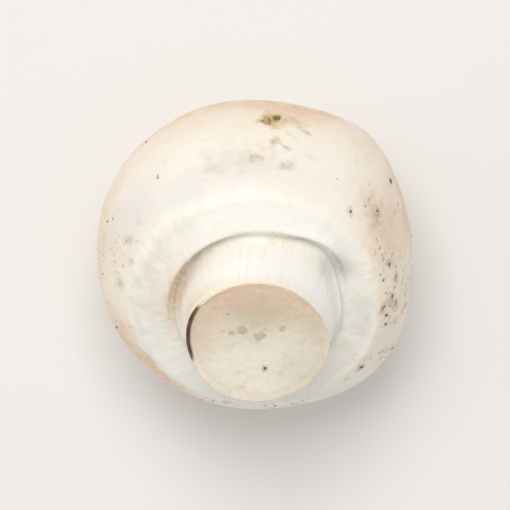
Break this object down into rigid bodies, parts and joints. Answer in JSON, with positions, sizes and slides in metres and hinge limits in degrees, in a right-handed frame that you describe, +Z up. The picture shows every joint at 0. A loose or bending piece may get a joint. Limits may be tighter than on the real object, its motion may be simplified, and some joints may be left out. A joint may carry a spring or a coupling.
{
  "type": "button mushroom",
  "caption": "Whole closed-cup white button mushroom lying on its round cap, with a short cut stem and a ring groove under an unbroken veil.",
  "frame": {"origin": "middle of the small flat spot of the cap that the mushroom lies on", "axes": "+Z up from the surface it lies on; the cut stem points up and leans 32 degrees from +Z towards -Y; +X to the right of someone facing +Y"},
  "size_m": [0.0462, 0.0457, 0.0468],
  "materials": {
    "mushroom_skin": "matte",
    "stem_flesh": "matte",
    "casing_soil": "matte"
  },
  "bodies": {
    "root": {"button_mushroom": "mushroom_skin"}
  },
  "joints": []
}
